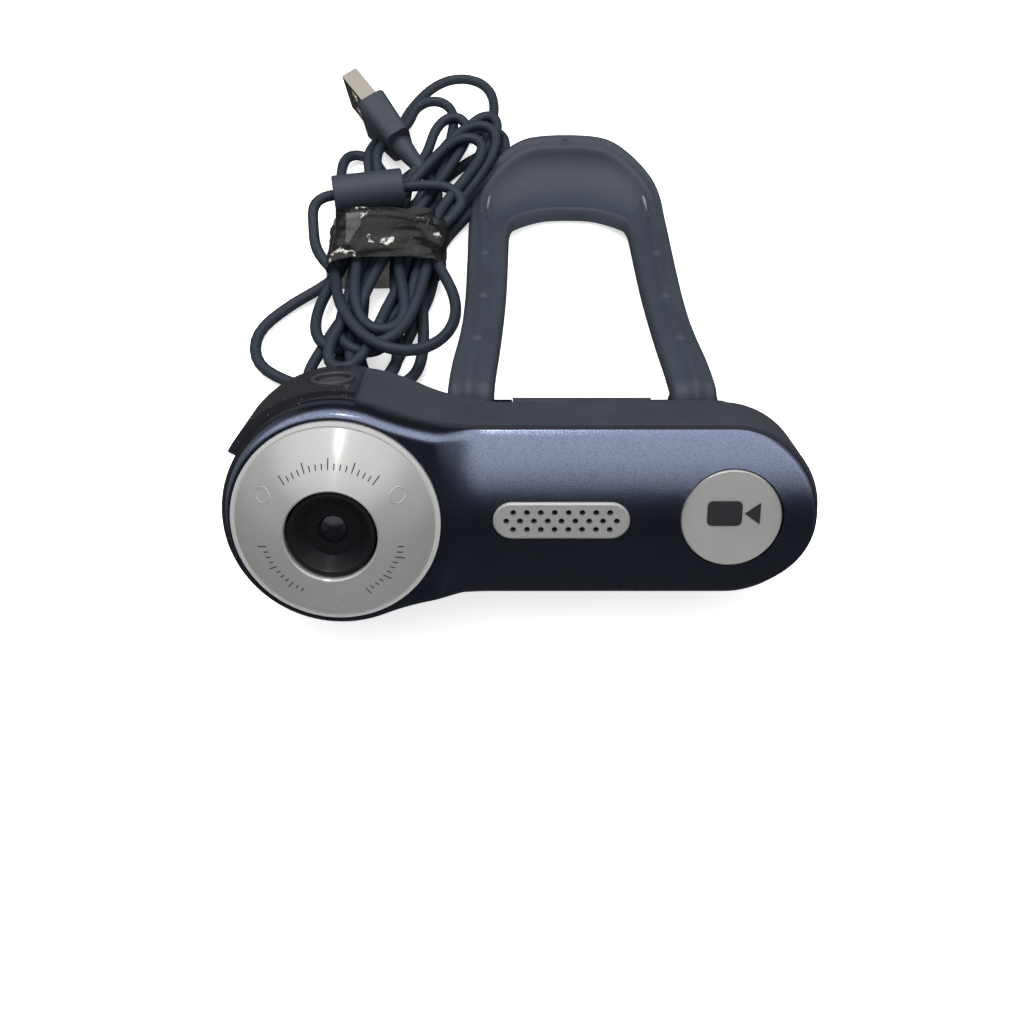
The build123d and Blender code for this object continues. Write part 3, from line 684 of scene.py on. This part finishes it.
cord = {
    "diameter": 2.7,
    "length": 2.07,
    "tieY": 34.0,
    "tieHalf": 5.0,
    "lead": [
        (-36.0, -30.3, 12.06), (-36.5, -20.0, 6.2), (-41.5, -10.5, 2.0), (-52.0, -6.5, 1.5),
        (-61.5, -0.5, 1.5), (-63.0, 10.0, 1.5), (-56.0, 19.0, 1.5), (-48.5, 24.5, 2.2),
    ],
    # each turn: (x, z) going up through the tape, fold at the top, (x, z) coming down, fold at the bottom;
    # a fold is x, y, z, its radius and how far its legs bow outward
    "turns": [
        ((-44.8, 2.0), (-6.5, 85.5, 2.2, 5.5, 2.0), (-20.6, 2.0), (-37.0, -9.0, 2.0, 5.5, 0.0)),
        ((-41.3, 2.0), (-6.0, 76.0, 2.2, 5.0, 0.0), (-24.1, 2.0), (-30.0, -4.0, 2.2, 8.5, 0.0)),
        ((-37.8, 2.0), (-15.5, 101.0, 3.5, 10.5, 5.0), (-27.6, 2.2), (-46.5, -9.0, 3.6, 5.0, 0.0)),
        ((-34.3, 2.0), (-8.0, 87.5, 5.5, 5.0, -1.0), (-20.6, 4.9), (-43.0, 4.0, 4.6, 7.0, 2.0)),
        ((-44.6, 4.9), (-42.0, 75.0, 2.8, 6.0, 0.0), (-30.9, 2.2), (-33.0, -8.0, 5.0, 6.0, 0.0)),
        ((-41.2, 4.9), (-8.5, 79.0, 8.0, 5.5, 2.0), (-24.1, 4.9), (-36.0, 3.0, 6.0, 8.0, 0.0)),
        ((-37.8, 4.9), (-22.5, 91.0, 6.0, 6.5, 1.0), (-27.6, 5.2), (-41.0, -7.0, 7.5, 5.0, 0.0)),
        ((-34.4, 4.9), (-16.5, 84.0, 8.0, 5.0, 2.0), (-31.0, 5.0), (-32.0, 7.0, 8.0, 7.5, 0.0)),
        ((-40.0, 7.8), (-12.5, 72.0, 9.0, 6.0, 0.0), (-24.2, 7.8), (-26.2, 7.5, 9.0, 14.0, 2.0)),
    ],
    # from the last turn: through the ferrite from its left end, round its right end, once more through
    # the tape and up to the plug
    "run": [
        (-44.0, 26.0, 6.0), (-48.3, 26.5, 5.5), (-50.2, 33.0, 6.5), (-51.2, 40.5, 8.5),
        (-51.6, 45.8, 10.0), (-48.9, 48.7, 10.5), (-44.0, 49.5, 10.5), (-32.0, 51.7, 10.5),
        (-24.0, 53.2, 10.4), (-17.5, 53.0, 10.0), (-14.0, 49.0, 8.6), (-16.5, 44.3, 8.0),
        (-20.7, 39.0, 7.8), (-22.0, 29.0, 7.8), (-24.0, 14.0, 8.5), (-27.0, 4.0, 8.5),
        (-33.0, -1.0, 8.5), (-38.0, 4.0, 8.0), (-37.5, 14.0, 7.8), (-34.5, 25.0, 7.8),
        (-31.0, 34.0, 7.8), (-28.0, 43.0, 6.5), (-23.0, 49.5, 4.2), (-21.0, 54.5, 4.2),
        (-21.3, 58.8, 4.5),
    ],
    "ferrite": {"half": 8.8, "turn": 10.0},
    "settle": {
        "step": 3.2, "rounds": 160, "spacing": 1.06, "neighbours": 4, "push": 0.25, "lift": 1.6,
        "smooth": 0.25, "home": 0.012, "pull": 0.3, "lastSmooths": 3,
    },
    "keepOut": {
        "lift": 0.1, "highest": 14.0, "tapeEnd": 0.5, "tapeWall": 2.0, "ferriteEnd": 1.0, "plugHeight": 4,
    },
}
# the plug back from its mouth: each stage's end, and its half width at both ends
plug = {
    "shellEnd": 12.0, "gripEnd": 13.0, "neckEnd": 24.0,
    "shellHalf": (3.6, 3.6), "gripHalf": (6.0, 5.2), "neckHalf": (2.9, 1.7),
    "cordBefore": 4, "cordInside": 1,
}


def foldPoints(start, end, fold):
    # one way to the fold, round it, and back
    x, y, z, radius, bow = fold
    start, end, centre = np.array(start), np.array(end), np.array((x, y))
    ahead = centre - (start[:2] + end[:2]) / 2
    ahead = ahead / np.linalg.norm(ahead)
    right = np.array((ahead[1], -ahead[0]))
    if (end[:2] - start[:2]) @ right < 0:
        right = -right
    points = []
    for share in (0.3, 0.6, 0.85):
        side = start[:2] + (centre - right * radius - start[:2]) * share
        side = side - right * bow * 4 * share * (1 - share)
        points.append((*side, start[2] + (z - start[2]) * share))
    for step in range(7):
        angle = pi - step * pi / 6
        points.append((*(centre + radius * (cos(angle) * right + sin(angle) * ahead)), z))
    for share in (0.15, 0.4, 0.7):
        side = centre + right * radius + (end[:2] - centre - right * radius) * share
        side = side + right * bow * 4 * share * (1 - share)
        points.append((*side, z + (end[2] - z) * share))
    return points


def turnPoints():
    points = []
    rows = cord["turns"]
    above = cord["tieY"] + cord["tieHalf"]
    below = cord["tieY"] - cord["tieHalf"]
    leaving = (cord["run"][0][0], cord["run"][0][2])
    for i, (goingUp, top, goingDown, bottom) in enumerate(rows):
        following = rows[i + 1][0] if i + 1 < len(rows) else leaving
        points += [(goingUp[0], below, goingUp[1]), (goingUp[0], above, goingUp[1])]
        points += foldPoints(points[-1], (goingDown[0], above, goingDown[1]), top)
        points += [(goingDown[0], above, goingDown[1]), (goingDown[0], below, goingDown[1])]
        points += foldPoints(points[-1], (following[0], below, following[1]), bottom)
    return points


# what the settling turns may not enter: the ferrite, and the plug from its mouth to its neck
ferriteLow, ferriteHigh = (np.array(corner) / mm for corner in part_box("ferrite_bead"))
ferriteMiddle = (ferriteLow + ferriteHigh) / 2
ferriteRadius = (ferriteHigh[2] - ferriteLow[2]) / 2
ferriteHalf = cord["ferrite"]["half"]
ferriteRun = np.array([cos(radians(cord["ferrite"]["turn"])), sin(radians(cord["ferrite"]["turn"]))])
ferriteSide = np.array([-ferriteRun[1], ferriteRun[0]])
tapeLow, tapeHigh = (np.array(corner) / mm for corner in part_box("hank_tape"))
plugMouth = {m["name"]: m for m in frame["record"]["mounts"]}["usb_plug"]
plugAxis = np.array(plugMouth["axis"])
plugFace = np.array(plugMouth["pos_m"]) / mm - plug["shellEnd"] * plugAxis
gripEnd = plugFace - plug["gripEnd"] * plugAxis
neckEnd = plugFace - plug["neckEnd"] * plugAxis
plugStages = [
    (plugFace + plug["shellEnd"] * plugAxis, plugFace, *plug["shellHalf"]),
    (plugFace, gripEnd, *plug["gripHalf"]),
    (gripEnd, neckEnd, *plug["neckHalf"]),
]


def evenly(points, step):
    # points at an even step along the smooth line that the given points control
    given = np.array(points, float)
    arcs = []
    for i in range(len(given) - 2):
        first = given[0] if i == 0 else (given[i] + given[i + 1]) / 2
        last = given[-1] if i == len(given) - 3 else (given[i + 1] + given[i + 2]) / 2
        t = np.linspace(0, 1, 10, endpoint=False)[:, None]
        arcs.append((1 - t) ** 2 * first + 2 * t * (1 - t) * given[i + 1] + t * t * last)
    line = np.vstack(arcs + [given[-1:]])
    along = np.r_[0, np.cumsum(np.linalg.norm(np.diff(line, axis=0), axis=1))]
    places = np.linspace(0, along[-1], int(along[-1] / step) + 1)
    return np.stack([np.interp(places, along, line[:, k]) for k in range(3)], 1)


def keepOut(line):
    # inside the tape, out of the ferrite and the plug, and above the table
    room = cord["keepOut"]
    thick = cord["diameter"] / 2
    lowest, wall, end = thick + room["lift"], room["tapeWall"], room["tapeEnd"]
    line[:, 2] = np.clip(line[:, 2], lowest, room["highest"])
    tied = (line[:, 1] > tapeLow[1] - end) & (line[:, 1] < tapeHigh[1] + end)
    tied &= (line[:, 0] > tapeLow[0] - wall) & (line[:, 0] < tapeHigh[0] + wall)
    line[tied, 0] = np.clip(line[tied, 0], tapeLow[0] + wall, tapeHigh[0] - wall)
    line[tied, 2] = np.clip(line[tied, 2], wall, tapeHigh[2] - wall)
    away = line - ferriteMiddle
    along, side = away[:, :2] @ ferriteRun, away[:, :2] @ ferriteSide
    across = np.hypot(side, away[:, 2]) + 1e-9
    near = (np.abs(along) < ferriteHalf + room["ferriteEnd"]) & (across < ferriteRadius + thick)
    grown = (ferriteRadius + thick) / across - 1
    line[near, :2] += (side * grown)[near, None] * ferriteSide
    line[near, 2] = np.maximum(line[near, 2] + away[near, 2] * grown[near], lowest)
    for start, end, wide, narrow in plugStages:
        run = end - start
        share = np.clip(((line - start) @ run) / (run @ run), 0, 1)
        nearest = start + share[:, None] * run
        off = line - nearest
        level = np.hypot(off[:, 0], off[:, 1]) + 1e-9
        reach = wide + (narrow - wide) * share + thick
        near = (level < reach) & (np.abs(off[:, 2]) < reach + room["plugHeight"])
        line[near, :2] = nearest[near, :2] + off[near, :2] * (reach / level)[near, None]
    return line


def settle(line):
    # strands that lie in each other push apart, and stay about as long and as smooth as they were
    how = cord["settle"]
    thick = cord["diameter"] * how["spacing"]
    order = np.arange(len(line))
    apart = np.abs(order[:, None] - order[None, :]) > how["neighbours"]
    rest = np.linalg.norm(np.diff(line, axis=0), axis=1)
    started = line.copy()
    for _ in range(how["rounds"]):
        gap = line[:, None, :] - line[None, :, :]
        distance = np.sqrt((gap ** 2).sum(-1)) + 1e-9
        overlap = np.where(apart & (distance < thick), (thick - distance) / distance, 0)
        push = (gap * overlap[:, :, None]).sum(1) * how["push"]
        push[:, 2] *= how["lift"]
        push[1:-1] += ((line[:-2] + line[2:]) / 2 - line[1:-1]) * how["smooth"]
        push += (started - line) * how["home"]
        line = line + push
        for _ in range(2):
            step = np.diff(line, axis=0)
            length = np.linalg.norm(step, axis=1) + 1e-9
            pull = step * ((length - rest) / length * how["pull"])[:, None]
            line[:-1] += pull
            line[1:] -= pull
        line[0], line[-1] = started[0], started[-1]
        line = keepOut(line)
    for _ in range(how["lastSmooths"]):
        line[1:-1] = line[1:-1] * 0.5 + (line[:-2] + line[2:]) * 0.25
    return line


def buildCord():
    hank = evenly(turnPoints() + cord["run"][:2], cord["settle"]["step"])
    hank = settle(hank)
    points = cord["lead"] + [tuple(p) for p in hank] + cord["run"][2:]
    points += [tuple(neckEnd - plug["cordBefore"] * plugAxis), tuple(neckEnd + plug["cordInside"] * plugAxis)]
    curve = bpy.data.curves.new("cord", "CURVE")
    curve.dimensions = "3D"
    spline = curve.splines.new("NURBS")
    spline.points.add(len(points) - 1)
    for place, point in zip(spline.points, points):
        place.co = (*(c * mm for c in point), 1)
    spline.order_u = 3
    spline.use_endpoint_u = True
    spline.resolution_u = 4
    curve.bevel_depth = cord["diameter"] / 2 * mm
    curve.bevel_resolution = 5
    curve.use_fill_caps = True
    piece = bpy.data.objects.new("cord", curve)
    bpy.context.scene.collection.objects.link(piece)
    wear(piece, "slate_cord")
    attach(piece, "camera")
    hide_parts("cord_lead", "cord_hank")
    return piece


cordPiece = buildCord()
print("cord: points", len(cordPiece.data.splines[0].points))

# stand loop: a moulded strip with a rounded ridge over its wire, dimpled along the ridge

loop = {
    "middle": 46.2,
    # side profile in the camera's own frame: hinge, knee, bend, tip, with the radius at each corner
    "profile": [(31.5, 10.0), (27.0, 15.25), (121.4, 41.9), (129.3, 58.1)],
    "bends": [3.0, 30.0],
    # outline as (half width, distance along the strip)
    "outerSide": [(27.2, 1.5), (27.2, 12.0), (25.2, 30.0), (24.8, 45.0), (24.9, 62.0), (25.1, 78.0)],
    "outerEnd": [(25.1, 78.0), (25.3, 90.0), (24.6, 101.0), (20.5, 108.5), (13.0, 115.2), (6.0, 116.7),
                 (0.0, 116.7)],
    "innerSide": [(17.7, 1.5), (17.7, 8.0), (16.4, 25.0), (15.4, 45.0), (15.1, 60.0), (14.9, 76.0)],
    "innerEnd": [(14.9, 76.0), (14.9, 83.0), (12.5, 86.3), (8.0, 89.2), (4.0, 90.2), (0.0, 90.2)],
    "start": 1.5,
    # across the strip: flat underside, rounded edges, a ridge over the wire
    "edgeLow": -1.75, "edgeCorner": -1.4, "edgeTop": -1.0, "edgeRound": 1.5, "topHeight": 1.35,
    "ridgeIn": 4.4, "ridgeHeight": 1.0, "ridgeSpread": 1.5,
    # the web at the tip, where the strip is wide: a dish with a lip along its inner edge
    "web": {"from": 11, "over": 8, "dishIn": 6.5, "dishShort": 9.0, "dish": 1.3,
            "lip": 0.55, "lipIn": 1.2, "lipSpread": 0.8},
    "dimplesAlong": [2.0, 22.5, 42.0, 64.0, 87.5], "tipDimpleShift": 1.6,
    "dimpleRadius": 0.8, "dimpleDepth": 0.9,
    "rowStep": 0.5, "tipRowShare": 0.9, "edgeStep": 0.25, "across": 34, "crowding": 0.11,
}


def cornerArc(before, corner, after, radius):
    # where an arc of that radius touches the two runs, and points along it
    a = (Vector(before) - Vector(corner)).normalized()
    b = (Vector(after) - Vector(corner)).normalized()
    half = a.angle(b) / 2
    reach = radius / tan(half)
    centre = Vector(corner) + (a + b).normalized() * (radius / sin(half))
    first = Vector(corner) + a * reach
    last = Vector(corner) + b * reach
    start, sweep = first - centre, (first - centre).angle_signed(last - centre)
    points = []
    for i in range(17):
        turn = Matrix.Rotation(-sweep * i / 16, 2)
        points.append(centre + turn @ start)
    return points


def sideProfile():
    hinge, knee, bend, tip = loop["profile"]
    line = [Vector(hinge)]
    line += cornerArc(hinge, knee, bend, loop["bends"][0])
    line += cornerArc(knee, bend, tip, loop["bends"][1])
    line.append(Vector(tip))
    line = np.array([tuple(p) for p in line])
    along = np.r_[0, np.cumsum(np.linalg.norm(np.diff(line, axis=0), axis=1))]
    return line, along - loop["start"]


profileLine, profileAlong = sideProfile()


def onStrip(halfWidth, along, height):
    # a point of the flat strip, bent to the side profile
    place = [np.interp(along, profileAlong, profileLine[:, k]) for k in (0, 1)]
    ahead = [np.interp(along + 0.6, profileAlong, profileLine[:, k]) for k in (0, 1)]
    behind = [np.interp(along - 0.6, profileAlong, profileLine[:, k]) for k in (0, 1)]
    run = Vector((ahead[0] - behind[0], ahead[1] - behind[1])).normalized()
    return onBody(loop["middle"] + halfWidth, place[0] - run.y * height, place[1] + run.x * height)


def topHeight(inward, width):
    # height of the strip's top face, a distance in from its outer edge
    web = loop["web"]
    fromInner = width - inward
    edge = min(inward, fromInner)
    rounded = sqrt(max(0.0, 1 - (1 - min(edge / loop["edgeRound"], 1)) ** 2))
    height = loop["edgeTop"] + (loop["topHeight"] - loop["edgeTop"]) * rounded
    height += loop["ridgeHeight"] * np.exp(-((inward - loop["ridgeIn"]) / loop["ridgeSpread"]) ** 2)
    if width > web["from"]:
        much = min(1.0, (width - web["from"]) / web["over"])
        share = np.clip((inward - web["dishIn"]) / max(width - web["dishShort"], 1), 0, 1)
        height -= web["dish"] * much * sin(pi * share)
        height += web["lip"] * much * np.exp(-((fromInner - web["lipIn"]) / web["lipSpread"]) ** 2)
    return height


def stripRows():
    # pairs of outer and inner edge points, up one leg to the middle of the tip, then mirrored
    rows = []
    fine = loop["edgeStep"]
    stretches = ((loop["outerSide"], loop["innerSide"], loop["rowStep"], 0),
                 (loop["outerEnd"], loop["innerEnd"], loop["rowStep"] * loop["tipRowShare"], 1))
    for outer, inner, step, closing in stretches:
        outerLine = evenly([(x, s, 0) for x, s in outer], fine)
        innerLine = evenly([(x, s, 0) for x, s in inner], fine)
        count = int(len(outerLine) * fine / step)
        for i in range(count + closing):
            share = i / count
            outerPoint = outerLine[int(share * (len(outerLine) - 1))]
            innerPoint = innerLine[int(share * (len(innerLine) - 1))]
            rows.append((outerPoint[:2], innerPoint[:2]))
    other = [((-a[0], a[1]), (-b[0], b[1])) for a, b in reversed(rows[:-1])]
    return rows + other


def dimplePlaces():
    # in pairs on the ridge of both legs, and one at the tip
    edge = loop["outerSide"] + loop["outerEnd"][1:2]
    places = []
    for s in loop["dimplesAlong"]:
        x = np.interp(s, [p[1] for p in edge], [p[0] for p in edge]) - loop["ridgeIn"]
        places += [(-x, s), (x, s)]
    return places + [(0.0, loop["outerEnd"][-1][1] - loop["ridgeIn"] + loop["tipDimpleShift"])]


def buildLoop():
    across, low, corner = loop["across"], loop["edgeLow"], loop["edgeCorner"]
    points = []
    dimples = dimplePlaces()
    for outer, inner in stripRows():
        width = sqrt((outer[0] - inner[0]) ** 2 + (outer[1] - inner[1]) ** 2)
        row = []
        for k in range(across + 1):
            # closer steps near both edges
            share = k / across
            inward = width * (share - loop["crowding"] * sin(2 * pi * share))
            x = outer[0] + (inner[0] - outer[0]) * inward / width
            s = outer[1] + (inner[1] - outer[1]) * inward / width
            height = topHeight(inward, width)
            for dx, ds in dimples:
                away = ((x - dx) ** 2 + (s - ds) ** 2) / loop["dimpleRadius"] ** 2
                if away < 8:
                    height -= loop["dimpleDepth"] * np.exp(-away)
            row.append((x, s, height))
        underside = [(width - 0.05, corner), (width - 0.5, low), (width * 0.5, low)]
        underside += [(0.5, low), (0.05, corner)]
        for inward, height in underside:
            x = outer[0] + (inner[0] - outer[0]) * inward / width
            s = outer[1] + (inner[1] - outer[1]) * inward / width
            row.append((x, s, height))
        points.append([onStrip(*p) for p in row])
    size = len(points[0])
    flat = [p for row in points for p in row]
    faces = bandFaces(len(points), size, flip=True)
    faces.append(tuple(range(size)))
    faces.append(tuple(reversed(range((len(points) - 1) * size, len(points) * size))))
    piece = addMesh("standLoop", flat, faces, "stand", "slate_rubber")
    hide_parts("stand_loop")
    return piece


buildLoop()
print("stand loop")

# tape: a crumpled sleeve of clear film round the hank

tape = {
    "around": 72, "along": 26, "crumple": 0.9, "slant": 2.5, "slantTurn": 0.8, "lowest": 0.05,
    # how square the sleeve's section is: the smaller, the squarer
    "squareX": 0.45, "squareZ": 0.75,
    "foldSize": (0.16, 0.3, 0.2), "creaseSize": 0.6, "creaseShare": 0.5,
}


def buildTape():
    points = []
    middle = (tapeLow + tapeHigh) / 2
    half = (tapeHigh - tapeLow) / 2
    foldX, foldY, foldZ = tape["foldSize"]
    for i in range(tape["along"] + 1):
        share = i / tape["along"]
        y = tapeLow[1] + (tapeHigh[1] - tapeLow[1]) * share
        for k in range(tape["around"]):
            angle = 2 * pi * k / tape["around"]
            c, s = cos(angle), sin(angle)
            x = middle[0] + half[0] * abs(c) ** tape["squareX"] * (1 if c > 0 else -1)
            z = middle[2] + half[2] * abs(s) ** tape["squareZ"] * (1 if s > 0 else -1)
            slant = tape["slant"] * sin(angle * 0.5 + tape["slantTurn"]) * (share - 0.5)
            fold = noise.noise(Vector((x * foldX, y * foldY, z * foldZ)))
            crease = noise.noise(Vector((x, y, z)) * tape["creaseSize"])
            push = tape["crumple"] * (fold + tape["creaseShare"] * crease)
            points.append(Vector((x + c * push, y + slant, max(z + s * push, tape["lowest"]))) * mm)
    faces = bandFaces(tape["along"] + 1, tape["around"])
    piece = addMesh("tapeSleeve", points, faces, "camera", "clear_tape")
    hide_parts("hank_tape")
    return piece


tapePiece = buildTape()
print("tape")
